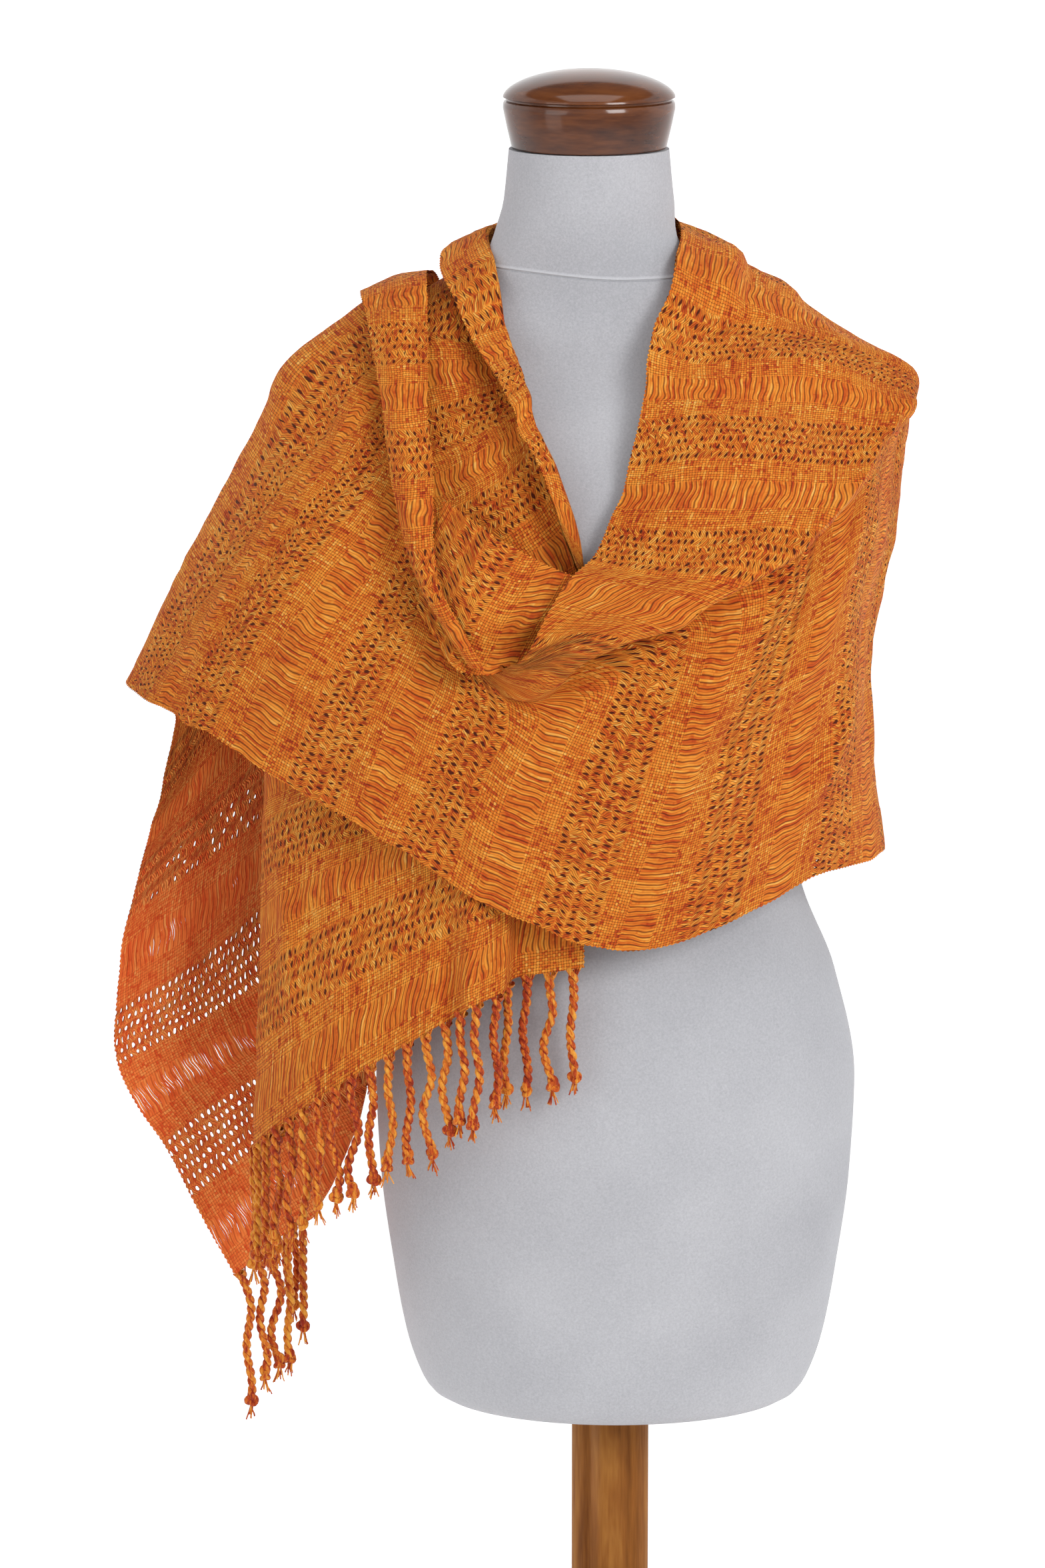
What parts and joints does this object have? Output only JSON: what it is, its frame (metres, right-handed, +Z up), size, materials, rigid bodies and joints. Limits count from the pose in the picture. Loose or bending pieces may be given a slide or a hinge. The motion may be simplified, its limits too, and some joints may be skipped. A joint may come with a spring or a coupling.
{
  "type": "shawl on a limbless dress form",
  "caption": "Openwork handwoven shawl with a knotted fringe, wrapped over one shoulder of a limbless padded dress form on a round wooden stand.",
  "frame": {"origin": "middle of the stand base's underside, on the axis of the pole", "axes": "+Z up along the pole, -Y the way the form faces, +X to the viewer's right"},
  "size_m": [0.5703, 0.365, 1.5999],
  "materials": {
    "orange_cloth": "matt handwoven openwork",
    "orange_cord": "matt two-ply cord",
    "grey_jersey": "smooth matt jersey",
    "brown_wood": "polished and turned",
    "beech": "clear satin lacquer"
  },
  "bodies": {
    "root": {"shawl_front_end": "orange_cloth", "shawl_back_neck": "orange_cloth", "shawl_cross_front": "orange_cloth", "shawl_back_end": "orange_cloth", "shawl_swag": "orange_cloth", "shawl_shoulder_pleat": "orange_cloth", "fringe_front": "orange_cord", "fringe_back": "orange_cord", "form_torso": "grey_jersey", "neck_cap": "brown_wood", "stand_pole": "beech", "stand_base": "beech"}
  },
  "joints": []
}
